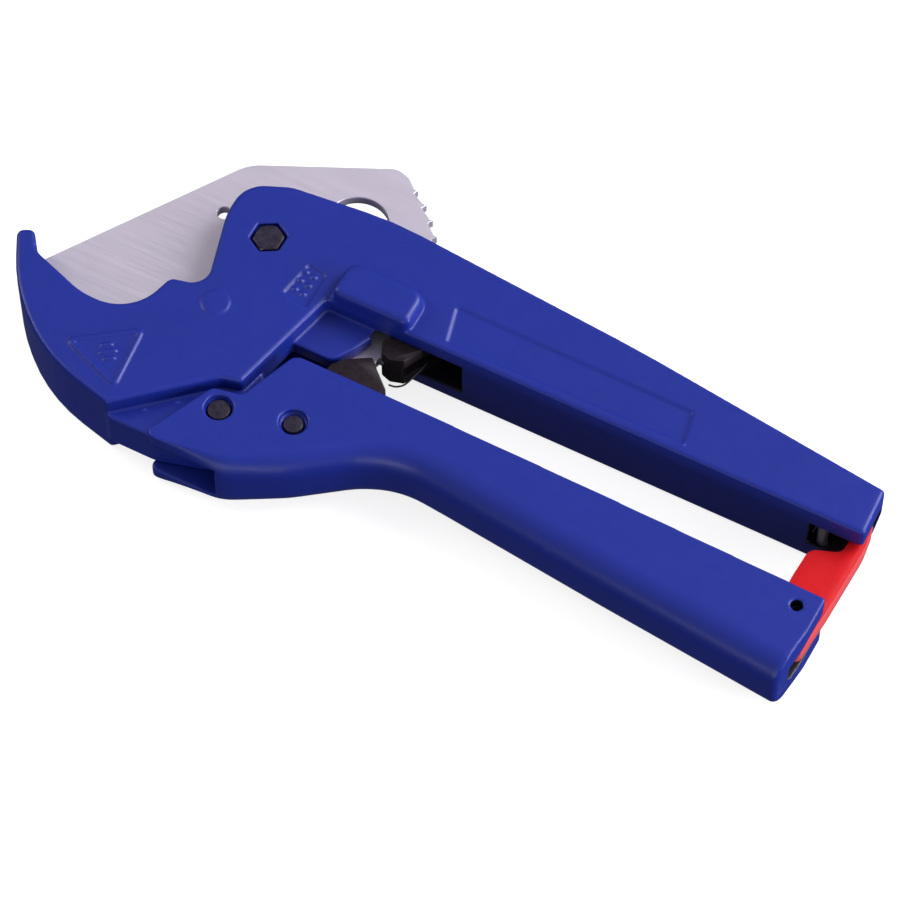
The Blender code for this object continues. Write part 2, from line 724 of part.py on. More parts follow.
def main():
    clear_scene()
    parts = new_collection("pipe_cutter")
    helpers = new_collection("cutters", hidden=True)
    materials = {
        "blue": new_material("blue_paint", BLUE, 0.38, 0.1),
        "black": new_material("black_steel", DARK_STEEL, 0.45, 0.9),
        "blade": new_material("blade_steel", BLADE_STEEL, 0.32, 0.9),
        "spring": new_material("spring_steel", SPRING_STEEL, 0.3, 1.0),
        "bronze": new_material("bronze", BRONZE, 0.4, 1.0),
        "red": new_material("red_plastic", RED, 0.35, 0.0),
    }
    axes = {"body": make_axis("body_axis", BLADE_AXIS, None, parts)}
    axes["blade"] = make_axis("blade_axis", BLADE_AXIS, axes["body"], parts)
    axes["lever"] = make_axis("lever_axis", LEVER_AXIS, axes["body"], parts)
    axes["hold"] = make_axis("holding_pawl_axis", HOLD_AXIS, axes["body"], parts)
    axes["drive"] = make_axis("drive_pawl_axis", DRIVE_AXIS, axes["lever"], parts)
    axes["latch"] = make_axis("latch_axis", LATCH_AXIS, axes["lever"], parts)

    make_body(parts, helpers, axes["body"], materials["blue"])
    make_blade(parts, axes["blade"], materials["blade"])
    make_pivot_set(parts, helpers, axes["body"], materials)
    make_lever(parts, helpers, axes["lever"], materials["blue"])
    make_drive_pawl(parts, helpers, axes["drive"], materials["black"])
    make_holding_pawl(parts, helpers, axes["hold"], materials["black"])
    make_pins(parts, axes, materials)
    make_latch(parts, helpers, axes["latch"], materials["red"])
    make_springs(parts, axes, materials["spring"])


main()
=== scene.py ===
"""Looks of a ratcheting pipe cutter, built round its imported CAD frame.

Shapes are drawn in millimetres in the plane of the blade, from the blade's pivot: X runs along the
handles towards their free end, Y towards the upper handle, and Z is the thickness, 0 at the mid-plane.
"""

import json
import math

import bmesh
import bpy
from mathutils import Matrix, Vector

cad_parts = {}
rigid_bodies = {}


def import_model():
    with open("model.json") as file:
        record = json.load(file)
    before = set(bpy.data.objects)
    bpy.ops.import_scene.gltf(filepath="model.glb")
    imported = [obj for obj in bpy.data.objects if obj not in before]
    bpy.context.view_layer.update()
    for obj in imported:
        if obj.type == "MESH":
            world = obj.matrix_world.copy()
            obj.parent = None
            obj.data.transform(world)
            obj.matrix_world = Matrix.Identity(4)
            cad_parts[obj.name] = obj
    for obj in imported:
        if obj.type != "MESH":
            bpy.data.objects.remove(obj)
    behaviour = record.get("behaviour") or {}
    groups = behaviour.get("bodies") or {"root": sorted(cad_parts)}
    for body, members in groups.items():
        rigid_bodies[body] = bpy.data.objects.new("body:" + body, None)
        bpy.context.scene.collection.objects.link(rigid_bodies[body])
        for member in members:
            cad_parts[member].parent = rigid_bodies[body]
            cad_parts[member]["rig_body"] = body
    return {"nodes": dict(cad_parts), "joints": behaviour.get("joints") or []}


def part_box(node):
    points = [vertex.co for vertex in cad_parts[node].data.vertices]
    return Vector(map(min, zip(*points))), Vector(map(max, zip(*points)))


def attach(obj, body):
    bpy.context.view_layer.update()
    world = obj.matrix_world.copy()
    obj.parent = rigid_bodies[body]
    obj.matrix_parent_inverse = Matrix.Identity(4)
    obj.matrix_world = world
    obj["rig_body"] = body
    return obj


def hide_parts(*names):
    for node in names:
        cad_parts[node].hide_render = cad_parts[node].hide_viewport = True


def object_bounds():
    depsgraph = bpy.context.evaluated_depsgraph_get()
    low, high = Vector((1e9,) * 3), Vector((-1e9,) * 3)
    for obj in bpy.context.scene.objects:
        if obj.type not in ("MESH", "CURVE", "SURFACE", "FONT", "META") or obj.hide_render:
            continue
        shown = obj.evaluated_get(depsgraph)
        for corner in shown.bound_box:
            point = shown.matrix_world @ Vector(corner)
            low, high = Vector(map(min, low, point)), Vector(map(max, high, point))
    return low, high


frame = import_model()
CAD_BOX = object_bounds()

MM = 0.001
STEP = math.radians(6)
THROUGH = 20.0


def joint_point(name):
    return Vector(next(j for j in frame["joints"] if j["name"] == name)["pos_m"])


ORIGIN = joint_point("blade_hinge")


def axis_of(name):
    """A joint's axis in the drawing plane."""
    point = (joint_point(name) - ORIGIN) / MM
    return point.x, point.y


def centre_of(node):
    """The middle of a CAD node in the drawing plane."""
    low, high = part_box(node)
    point = ((low + high) / 2 - ORIGIN) / MM
    return point.x, point.y


BLADE_AXIS = (0.0, 0.0)
LEVER_AXIS = axis_of("lever_hinge")
DRIVE_AXIS = axis_of("drive_pawl_hinge")
HOLD_AXIS = axis_of("holding_pawl_hinge")
LATCH_AXIS = axis_of("latch_hinge")
CATCH_PIN = centre_of("latch_catch_pin")
BLADE_STOP = centre_of("blade_stop_pin")

# Half thicknesses from the mid-plane
BODY_HALF = 11.0
WEB_HALF = 6.0
BLADE_HALF = 1.5
BLADE_SLOT_HALF = 1.8
LEVER_HALF = 10.0
FORK_HALF = 6.3
PAWL_HALF = 5.4
PAWL_SLOT_HALF = 1.9
LATCH_HALF = 3.1
LATCH_SLOT_HALF = 3.5
CATCH_SLOT_HALF = 4.8
BOSS_TOP = 15.3

# Radii
PIVOT_BOLT_R = 3.0
LEVER_PIN_R = 3.0
DRIVE_PIN_R = 2.6
HOLD_PIN_R = 1.5
ROLL_PIN_R = 1.4
ROLL_PIN_SUNK = 2.6
CATCH_PIN_R = 1.45
STOP_PIN_R = 1.5
BORE_GAP = 0.18
HEX_HEAD_R = 4.25
HEX_POCKET_R = 4.95
HEX_HEIGHT = 3.0
HEX_SUNK = 0.3
BUSH_BORE_R = 4.95
BLADE_SLOT_R = 45.3
WEB_RIM_R = 38.3
COUNTERBORE_R = 3.7
COUNTERBORE_DEPTH = 1.6
GRIP_ROUNDING = 7.0
GRIP_MIDDLE_Y = -38.0

# The blade's ratchet teeth
TOOTH_TIP_R = 43.8
TOOTH_ROOT_R = 42.3
TOOTH_HEEL_R = 43.0
TOOTH_PITCH = math.radians(6.8)
TOOTH_COUNT = 13
FIRST_TOOTH = math.radians(56.1)
TOOTH_LEAN = 0.09
TOOTH_FACE = 0.14

# Its ground edge and its broken corners
GRIND_WIDTH = 2.2
GROUND_HALF = 0.12
BROKEN = 0.15


# ---------------------------------------------------------------- outlines


def on_circle(centre, radius, degrees):
    angle = math.radians(degrees)
    return centre[0] + radius * math.cos(angle), centre[1] + radius * math.sin(angle)


def arc(centre, radius, start, end, step=STEP):
    """Points on an arc from start to end, in degrees."""
    count = max(2, math.ceil(abs(math.radians(end - start)) / step))
    return [on_circle(centre, radius, start + (end - start) * k / count) for k in range(count + 1)]


def circle(centre, radius, count=40, start=0):
    return [on_circle(centre, radius, start + 360 * k / count) for k in range(count)]


def corner_arcs(corners):
    """For each corner (x, y, radius) of a polygon, the points of the arc that rounds it off."""
    arcs = []
    for i, (x, y, radius) in enumerate(corners):
        corner = Vector((x, y))
        if not radius:
            arcs.append([(x, y)])
            continue
        before = (Vector(corners[i - 1][:2]) - corner).normalized()
        after = (Vector(corners[(i + 1) % len(corners)][:2]) - corner).normalized()
        half = before.angle(after) / 2
        centre = corner + (before + after).normalized() * radius / math.sin(half)
        reach = radius / math.tan(half)
        start = corner + before * reach - centre
        end = corner + after * reach - centre
        first = math.atan2(start.y, start.x)
        turn = (math.atan2(end.y, end.x) - first + math.pi) % (2 * math.pi) - math.pi
        count = max(1, math.ceil(abs(turn) / STEP))
        angles = [first + turn * k / count for k in range(count + 1)]
        arcs.append([(centre.x + radius * math.cos(a), centre.y + radius * math.sin(a)) for a in angles])
    return arcs


def rounded(corners):
    """The outline of a polygon whose corners are rounded off."""
    return [point for points in corner_arcs(corners) for point in points]


def box_outline(low, high):
    return [low, (high[0], low[1]), high, (low[0], high[1])]


# Full thickness: the jaw from its hook, the head and the upper handle
BODY_CORNERS = [
    (-13.5, 11.8, 8.5),
    (-13.3, 1.5, 20),
    (-7.1, -20.3, 4.8),
    (-16.4, -22.4, 2.5),
    (-20.2, -36.6, 12.5),
    (-34.5, -36.7, 20),
    (-50.7, -31.2, 4),
    (-54.8, -25.6, 1.6),
    (-58.9, -27.7, 1.9),
    (-51.0, -42.3, 52),
    (-34.1, -57.6, 48),
    (-12.2, -62.9, 1.0),
    (9.8, -42.9, 4),
    (14.9, -41.7, 1.2),
    (22.5, -9.7, 0),
    (173.4, -9.7, 1.2),
    (172.8, 4.4, 1.2),
    (100.0, 13.4, 300),
    (26.0, 19.5, 90),
    (-2.0, 16.7, 10),
]

# Half thickness: round the lever's pin, and up to the rim of the blade
WEB_CORNERS = [
    (-30.0, -50.0, 0),
    (-11.5, -63.9, 1.2),
    (1.5, -63.9, 8),
    (13.3, -60.6, 8),
    (23.2, -57.0, 9),
    (22.6, -41.0, 6),
    (16.0, -33.0, 3),
    (16.0, -23.0, 0),
    (30.6, -23.0, 4),
    (34.1, -17.4, 0),
]

LEVER_CORNERS = [
    (-0.2, -65.9, 2),
    (21.5, -66.6, 14),
    (36.0, -58.9, 40),
    (50.5, -48.1, 25),
    (60.5, -43.4, 26),
    (74.0, -44.7, 60),
    (120.4, -49.8, 0),
    (171.0, -54.8, 1.6),
    (172.4, -43.0, 20),
    (172.6, -29.9, 1.2),
    (110.0, -28.6, 0),
    (49.4, -27.8, 0),
    (23.0, -27.8, 3.5),
    (16.8, -44.4, 1.8),
    (9.0, -46.0, 2.5),
]

LATCH_CORNERS = [
    (172.5, 1.8, 0.8),
    (173.8, -9.0, 20),
    (173.0, -29.0, 15),
    (171.8, -42.5, 2),
    (166.0, -44.4, 3),
    (161.5, -38.0, 8),
    (161.0, -25.0, 30),
    (161.6, -15.4, 3.0),
    (168.9, -12.6, 3.0),
]

# The hook's end in degrees round the latch's axis
HOOK_END = 95.2
HOOK_THICKNESS = 3.6

# The upper handle's end leans in towards the back, as (x, z)
END_SLOPE = [(174.2, 12.0), (171.1, -12.0), (180.0, -12.0), (180.0, 12.0)]


# ---------------------------------------------------------------- solids


def mesh_object(name, bm):
    """Makes an object of a bmesh drawn in mm; its origin is on the blade's pivot, its normals point out."""
    bmesh.ops.recalc_face_normals(bm, faces=bm.faces)
    bmesh.ops.scale(bm, vec=(MM, MM, MM), verts=bm.verts)
    mesh = bpy.data.meshes.new(name)
    bm.to_mesh(mesh)
    bm.free()
    obj = bpy.data.objects.new(name, mesh)
    obj.location = ORIGIN
    bpy.context.scene.collection.objects.link(obj)
    return obj


def solid_of(name, loops):
    """A closed solid through rings of points (x, y, z), all with the same number of points."""
    bm = bmesh.new()
    rings = [[bm.verts.new(point) for point in loop] for loop in loops]
    for lower, upper in zip(rings, rings[1:]):
        for i in range(len(lower)):
            j = (i + 1) % len(lower)
            bm.faces.new((lower[i], lower[j], upper[j], upper[i]))
    bm.faces.new(list(reversed(rings[0])))
    bm.faces.new(rings[-1])
    return mesh_object(name, bm)


def plate(name, outline, low, high):
    """A flat plate between two heights."""
    return solid_of(name, [[(x, y, z) for x, y in outline] for z in (low, high)])


def wedge(name, outline, low_y, high_y):
    """A prism along Y, with its outline drawn as (x, z)."""
    return solid_of(name, [[(x, y, z) for x, z in outline] for y in (low_y, high_y)])


def inset(outline, distances):
    """The outline moved inwards, each point by its own distance."""
    area = sum(a[0] * b[1] - b[0] * a[1] for a, b in zip(outline, outline[1:] + outline[:1]))
    side = 1 if area > 0 else -1
    moved = []
    for i, (x, y) in enumerate(outline):
        before = (Vector((x, y)) - Vector(outline[i - 1])).normalized()
        after = (Vector(outline[(i + 1) % len(outline)]) - Vector((x, y))).normalized()
        normals = [Vector((-d.y, d.x)) * side for d in (before, after)]
        bisector = (normals[0] + normals[1]).normalized()
        reach = distances[i] / max(bisector.dot(normals[0]), 0.5)
        moved.append((x + bisector.x * reach, y + bisector.y * reach))
    return moved


def edged_plate(name, outline, half, insets, rim_halves):
    """A plate whose faces end short of the outline, and slope from there to the rim's own half thickness."""
    inner = inset(outline, insets)
    loops = [[(x, y, -half) for x, y in inner]]
    loops.append([(x, y, -h) for (x, y), h in zip(outline, rim_halves)])
    loops.append([(x, y, h) for (x, y), h in zip(outline, rim_halves)])
    loops.append([(x, y, half) for x, y in inner])
    return solid_of(name, loops)


def turned(name, centre, profile, count=48, start=0):
    """A solid of revolution about a Z axis, through (radius, z) from the bottom up."""
    rings = [[(x, y, z) for x, y in circle(centre, radius, count, start)] for radius, z in profile]
    return solid_of(name, rings)


def rod(name, centre, radius, low, high, count=48):
    return turned(name, centre, [(radius, low), (radius, high)], count)


def hexagon(name, radius, low, high):
    """A six-sided rod round the blade's axis, with two corners on the Y axis."""
    return turned(name, BLADE_AXIS, [(radius, low), (radius, high)], 6, 30)


def pin(name, centre, radius, low, high, chamfer=0.5):
    """A plain pin with rounded ends."""
    lower = [(radius - chamfer, low), (radius - chamfer * 0.3, low + chamfer * 0.3), (radius, low + chamfer)]
    upper = [(r, high + low - z) for r, z in reversed(lower)]
    return turned(name, centre, lower + upper)


def bevel(obj, width, segments=3, degrees=50):
    modifier = obj.modifiers.new("Bevel", "BEVEL")
    modifier.width = width * MM
    modifier.segments = segments
    modifier.limit_method = "ANGLE"
    modifier.angle_limit = math.radians(degrees)
    return obj


def settle(obj, join=(), cut=(), keep=(), voxel=None, smooth=0, ratio=None):
    """Applies the bevels, joins and cuts; a cast piece is then remeshed so that every edge is soft."""
    for others, operation in ((join, "UNION"), (cut, "DIFFERENCE"), (keep, "INTERSECT")):
        for other in others:
            modifier = obj.modifiers.new(other.name, "BOOLEAN")
            modifier.operation = operation
            modifier.solver = "EXACT"
            modifier.object = other
    if voxel:
        remesh = obj.modifiers.new("Remesh", "REMESH")
        remesh.mode = "VOXEL"
        remesh.voxel_size = voxel * MM
        remesh.adaptivity = 0
        soften = obj.modifiers.new("Smooth", "SMOOTH")
        soften.factor = 0.5
        soften.iterations = smooth
    if ratio:
        thin = obj.modifiers.new("Decimate", "DECIMATE")
        thin.ratio = ratio
    bpy.context.view_layer.update()
    evaluated = obj.evaluated_get(bpy.context.evaluated_depsgraph_get())
    mesh = bpy.data.meshes.new_from_object(evaluated)
    obj.modifiers.clear()
    obj.data = mesh
    mesh.name = obj.name
    for other in (*join, *cut, *keep):
        bpy.data.objects.remove(other, do_unlink=True)
    return obj


def smooth_shade(obj, degrees):
    obj.data.shade_smooth()
    if degrees:
        obj.data.set_sharp_from_angle(angle=math.radians(degrees))


def wire(name, points, radius):
    """A round wire through points in mm, as a mesh."""
    data = bpy.data.curves.new(name, "CURVE")
    data.dimensions = "3D"
    data.bevel_depth = radius * MM
    data.bevel_resolution = 4
    data.use_fill_caps = True
    spline = data.splines.new("POLY")
    spline.points.add(len(points) - 1)
    for point, (x, y, z) in zip(spline.points, points):
        point.co = (x * MM, y * MM, z * MM, 1)
    guide = bpy.data.objects.new(name + "_guide", data)
    bpy.context.scene.collection.objects.link(guide)
    bpy.context.view_layer.update()
    mesh = bpy.data.meshes.new_from_object(guide.evaluated_get(bpy.context.evaluated_depsgraph_get()))
    mesh.name = name
    bpy.data.objects.remove(guide, do_unlink=True)
    obj = bpy.data.objects.new(name, mesh)
    obj.location = ORIGIN
    bpy.context.scene.collection.objects.link(obj)
    return obj


def coil_points(centre, radius, low, pitch, start, turns, per_turn=40):
    """Points along a coil round a Z axis, from the angle start in degrees; negative turns wind clockwise."""
    count = round(abs(turns) * per_turn)
    points = []
    for k in range(count + 1):
        x, y = on_circle(centre, radius, start + 360 * turns * k / count)
        points.append((x, y, low + pitch * abs(turns) * k / count))
    return points


def bent(points, count=10):
    """Points along straight legs whose corners are rounded."""
    line = [Vector(p) for p in points]
    path = [line[0]]
    for before, corner, after in zip(line, line[1:], line[2:]):
        start = corner.lerp(before, 0.45)
        end = corner.lerp(after, 0.45)
        for k in range(count + 1):
            t = k / count
            path.append(start.lerp(corner, t).lerp(corner.lerp(end, t), t))
    path.append(line[-1])
    return [tuple(p) for p in path]


# ---------------------------------------------------------------- materials


class Shader:
    """A Principled material whose detail is drawn in the piece's own coordinates, in mm."""

    def __init__(self, name, color, roughness, metallic=0.0):
        self.material = bpy.data.materials.new(name)
        self.material.use_nodes = True
        self.tree = self.material.node_tree
        self.shader = self.tree.nodes["Principled BSDF"]
        self.roughness = roughness
        self.shader.inputs["Base Color"].default_value = (*color, 1)
        self.shader.inputs["Roughness"].default_value = roughness
        self.shader.inputs["Metallic"].default_value = metallic
        place = self.tree.nodes.new("ShaderNodeTexCoord")
        self.mapping = self.node("ShaderNodeMapping")
        self.mapping.inputs["Scale"].default_value = (1 / MM, 1 / MM, 1 / MM)
        self.link(place.outputs["Object"], self.mapping.inputs["Vector"])
        self.normal = None

    def node(self, kind, **values):
        made = self.tree.nodes.new(kind)
        for key, value in values.items():
            made.inputs[key].default_value = value
        return made

    def link(self, output, socket):
        self.tree.links.new(output, socket)

    def noise(self, scale, detail=3.0, stretch=(1, 1, 1), turn=0.0, roughness=0.55):
        """Noise with scale features to the millimetre, stretched along an axis turned about Z."""
        squeeze = self.node("ShaderNodeMapping")
        squeeze.inputs["Scale"].default_value = stretch
        squeeze.inputs["Rotation"].default_value = (0, 0, turn)
        self.link(self.mapping.outputs["Vector"], squeeze.inputs["Vector"])
        made = self.node("ShaderNodeTexNoise", Scale=scale, Detail=detail, Roughness=roughness)
        self.link(squeeze.outputs["Vector"], made.inputs["Vector"])
        return made.outputs["Fac"]

    def ramp(self, value, low, high, out_low, out_high):
        made = self.node("ShaderNodeMapRange")
        made.inputs["From Min"].default_value = low
        made.inputs["From Max"].default_value = high
        made.inputs["To Min"].default_value = out_low
        made.inputs["To Max"].default_value = out_high
        self.link(value, made.inputs["Value"])
        return made.outputs["Result"]

    def mix(self, share, first, second):
        made = self.tree.nodes.new("ShaderNodeMix")
        made.data_type = "RGBA"
        for socket, value in ((6, first), (7, second)):
            if isinstance(value, tuple):
                made.inputs[socket].default_value = (*value, 1)
            else:
                self.link(value, made.inputs[socket])
        self.link(share, made.inputs[0])
        return made.outputs[2]

    def vary_roughness(self, value, spread):
        out = self.ramp(value, 0.3, 0.7, self.roughness - spread, self.roughness + spread)
        self.link(out, self.shader.inputs["Roughness"])

    def bump(self, value, strength, depth):
        """Adds relief, depth mm deep."""
        made = self.node("ShaderNodeBump", Strength=strength, Distance=depth * MM)
        self.link(value, made.inputs["Height"])
        if self.normal:
            self.link(self.normal, made.inputs["Normal"])
        self.normal = made.outputs["Normal"]
        self.link(self.normal, self.shader.inputs["Normal"])

    def edges(self):
        """1 on sharp outer edges, 0 elsewhere."""
        geometry = self.node("ShaderNodeNewGeometry")
        return self.ramp(geometry.outputs["Pointiness"], 0.56, 0.66, 0.0, 1.0)

    def inside(self, boxes):
        """1 within any of the boxes, given by their low and high corners in mm, 0 elsewhere."""
        share = None
        for low, high in boxes:
            middle = [(a + b) / 2 for a, b in zip(low, high)]
            offset = self.vector_math("SUBTRACT", self.mapping.outputs["Vector"], middle)
            size = self.vector_math("ABSOLUTE", offset)
            part = self.vector_math("SUBTRACT", size, [(b - a) / 2 for a, b in zip(low, high)])
            split = self.node("ShaderNodeSeparateXYZ")
            self.link(part, split.inputs["Vector"])
            largest = self.math("MAXIMUM", split.outputs["X"], split.outputs["Y"])
            largest = self.math("MAXIMUM", largest, split.outputs["Z"])
            here = self.ramp(largest, -0.2, 0.05, 1.0, 0.0)
            share = self.math("MAXIMUM", share, here) if share else here
        return share

    def math(self, operation, *values):
        made = self.tree.nodes.new("ShaderNodeMath")
        made.operation = operation
        for socket, value in zip(made.inputs, values):
            self.link(value, socket)
        return made.outputs["Value"]

    def vector_math(self, operation, value, other=None):
        made = self.tree.nodes.new("ShaderNodeVectorMath")
        made.operation = operation
        self.link(value, made.inputs[0])
        if other:
            made.inputs[1].default_value = other
        return made.outputs["Vector"]

    def side_walls(self):
        """1 on walls across the drawing plane, 0 on the faces along it."""
        place = self.tree.nodes.new("ShaderNodeTexCoord")
        parts = self.node("ShaderNodeSeparateXYZ")
        self.link(place.outputs["Normal"], parts.inputs["Vector"])
        return self.ramp(self.math("ABSOLUTE", parts.outputs["Z"]), 0.25, 0.75, 1.0, 0.0)


def shade(color, factor):
    return tuple(channel * factor for channel in color)


def blue_paint(name, shade_boxes):
    """Satin paint over a casting: orange peel, cloudy gloss, a painted highlight that makes the outer edges
    paler, and painted shade, near black, in the shade boxes.
    """
    color = (0.007, 0.018, 0.222)
    m = Shader(name, color, 0.38)
    m.shader.inputs["Specular IOR Level"].default_value = 0.34
    cloud = m.noise(0.05, 4)
    tint = m.mix(m.ramp(cloud, 0.35, 0.65, 0, 1), shade(color, 0.97), shade(color, 1.03))
    # Painted highlight: the outer edges of the paint are made paler
    lighter_edges = m.mix(m.edges(), tint, (0.040, 0.055, 0.36))
    # Painted shade: near black inside the shade boxes, the pockets and slots
    m.link(m.mix(m.inside(shade_boxes), lighter_edges, (0.006, 0.006, 0.012)), m.shader.inputs["Base Color"])
    m.vary_roughness(m.noise(0.3, 5), 0.04)
    m.bump(m.noise(1.1, 2), 0.12, 0.03)
    m.bump(m.noise(3.0, 3), 0.15, 0.015)
    return m.material


def ground_steel():
    """Blade steel ground lengthwise: fine streaks and cloudy sheen."""
    color = (0.62, 0.565, 0.68)
    m = Shader("blade_steel_look", color, 0.42, 0.65)
    streak = m.noise(1.0, 5, (0.06, 3.2, 1.0), math.radians(-14), 0.7)
    cloud = m.noise(0.06, 3)
    tint = m.mix(m.ramp(cloud, 0.35, 0.65, 0, 1), shade(color, 0.95), shade(color, 1.04))
    lined = m.mix(m.ramp(streak, 0.38, 0.62, 0, 1), tint, shade(color, 1.05))
    m.link(lined, m.shader.inputs["Base Color"])
    m.vary_roughness(streak, 0.08)
    m.bump(streak, 0.25, 0.012)
    return m.material


def dark_steel(name, color, roughness, metallic=0.3, gloss=0.25, lighter_edges=(0.16, 0.15, 0.17)):
    """Blackened or heat-treated steel: mottled oxide, rubbed brighter on its edges."""
    m = Shader(name, color, roughness, metallic)
    m.shader.inputs["Specular IOR Level"].default_value = gloss
    mottle = m.noise(0.9, 5)
    tint = m.mix(m.ramp(mottle, 0.35, 0.65, 0, 1), shade(color, 0.7), shade(color, 1.35))
    rubbed = m.mix(m.edges(), tint, lighter_edges)
    m.link(rubbed, m.shader.inputs["Base Color"])
    m.vary_roughness(mottle, 0.1)
    m.bump(m.noise(2.6, 4), 0.3, 0.03)
    return m.material


def bright_metal(name, color, roughness):
    """Drawn or turned metal with fine scratches round it."""
    m = Shader(name, color, roughness, 1.0)
    scratch = m.noise(2.0, 5, (1, 1, 6))
    tint = m.mix(m.ramp(scratch, 0.35, 0.65, 0, 1), shade(color, 0.85), shade(color, 1.12))
    m.link(tint, m.shader.inputs["Base Color"])
    m.vary_roughness(scratch, 0.08)
    m.bump(scratch, 0.2, 0.01)
    return m.material


def red_plastic():
    """Moulded plastic: slight sheen, fine spark-eroded texture, paler scuffs on its edges, and walls across
    the drawing plane painted paler as painted light from the side.
    """
    color = (0.530, 0.0055, 0.010)
    m = Shader("red_plastic_look", color, 0.38, 0.0)
    m.shader.inputs["Specular IOR Level"].default_value = 0.25
    cloud = m.noise(0.15, 4)
    tint = m.mix(m.ramp(cloud, 0.35, 0.65, 0, 1), shade(color, 0.94), shade(color, 1.06))
    # Painted light: the walls across the drawing plane are made paler, as if lit from the side
    walls = m.mix(m.side_walls(), tint, (0.62, 0.075, 0.085))
    scuffed = m.mix(m.edges(), walls, (0.70, 0.10, 0.09))
    m.link(scuffed, m.shader.inputs["Base Color"])
    m.vary_roughness(m.noise(0.8, 4), 0.07)
    m.bump(m.noise(3.0, 3), 0.25, 0.02)
    return m.material


def across(centre, reach, low, high):
    """The box round an axis, between two heights."""
    return (centre[0] - reach, centre[1] - reach, low), (centre[0] + reach, centre[1] + reach, high)


# Pockets and bores where the paint is darkened to near black as painted shade
BODY_SHADE_BOXES = [
    ((36.8, -12.0, -6.3), (61.4, 6.4, 6.3)),
    ((158.4, -13.0, -5.2), (180.0, 2.8, 5.2)),
]
LEVER_SHADE_BOXES = [across(LATCH_AXIS, 1.9, 3.6, 9.6), ((154.4, -48.6, -3.8), (180.0, -20.0, 3.8))]

LOOKS = {
    "blue_paint": blue_paint("blue_paint_look", BODY_SHADE_BOXES),
    "blue_paint_lever": blue_paint("blue_paint_lever_look", LEVER_SHADE_BOXES),
    "blade_steel": ground_steel(),
    "black_steel": dark_steel("black_steel_look", (0.024, 0.019, 0.036), 0.42),
    "pawl_steel": dark_steel(
        "pawl_steel_look", (0.015, 0.010, 0.014), 0.62, metallic=0.0, gloss=0.10, lighter_edges=(0.045, 0.038, 0.045)
    ),
    "pin_steel": bright_metal("pin_steel_look", (0.42, 0.42, 0.50), 0.42),
    "bronze": bright_metal("bronze_look", (0.45, 0.29, 0.12), 0.40),
    "red_plastic": red_plastic(),
    "spring_steel": bright_metal("spring_steel_look", (0.035, 0.035, 0.040), 0.45),
}


def dress(obj, slot):
    obj.data.materials.clear()
    obj.data.materials.append(LOOKS[slot])


def show(obj, node, slot, sharp=35):
    """Finishes a piece that stands for a CAD node and rides on its body."""
    smooth_shade(obj, sharp)
    dress(obj, slot)
    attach(obj, frame["nodes"][node]["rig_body"])
    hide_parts(node)


# ---------------------------------------------------------------- the castings


TRIANGLE = [(-30.8, -51.3), (-14.4, -39.3), (-12.5, -58.1)]
TRIANGLE_RISE = 0.45
RIM_WIDTH = 1.0
RIB_LENGTHS = (2.8, 4.2, 2.8)
RIB_ANGLE = 38
RIB_SPACING = 2.1
RIB_HALF_WIDTH = 0.45
DATE_BOX = [(11.2, -13.4, 0.9), (13.2, -2.1, 0.9), (19.2, -3.4, 0.9), (19.2, -14.9, 0.9)]
DATE_BOX_DEPTH = 0.55
LABEL_DEPTH = 0.5


def raised_marks():
    """A plain triangle rim with three slanting ribs on the jaw."""
    corners = [(x, y, 1.2) for x, y in TRIANGLE]
    outer = rounded(corners)
    rim = plate("triangle_rim", outer, WEB_HALF, BODY_HALF + TRIANGLE_RISE)
    hollow = plate("triangle_hollow", inset(outer, [RIM_WIDTH] * len(outer)), BODY_HALF, THROUGH)
    settle(rim, cut=[hollow])
    marks = [rim]
    middle = Vector([sum(c[k] for c in TRIANGLE) / 3 for k in range(2)])
    along = Vector(on_circle((0, 0), 1, RIB_ANGLE))
    for k, length in enumerate(RIB_LENGTHS):
        aside = Vector((-along.y, along.x))
        at = middle + aside * (k - 1) * RIB_SPACING
        ends = [at - along * length / 2, at + along * length / 2]
        side = aside * RIB_HALF_WIDTH
        points = [ends[0] - side, ends[1] - side, ends[1] + side, ends[0] + side]
        outline = rounded([(p.x, p.y, 0.4) for p in points])
        marks.append(plate(f"triangle_rib_{k}", outline, WEB_HALF, BODY_HALF + TRIANGLE_RISE))
    return marks


def sunk_panel(name, outline, depth):
    """Cutter for a shallow recess in the front face, with walls that slope at 45 degrees."""
    floor = inset(outline, [depth] * len(outline))
    top = inset(outline, [-depth] * len(outline))
    rings = ((floor, BODY_HALF - depth), (top, BODY_HALF + depth))
    return solid_of(name, [[(x, y, z) for x, y in outline] for outline, z in rings])


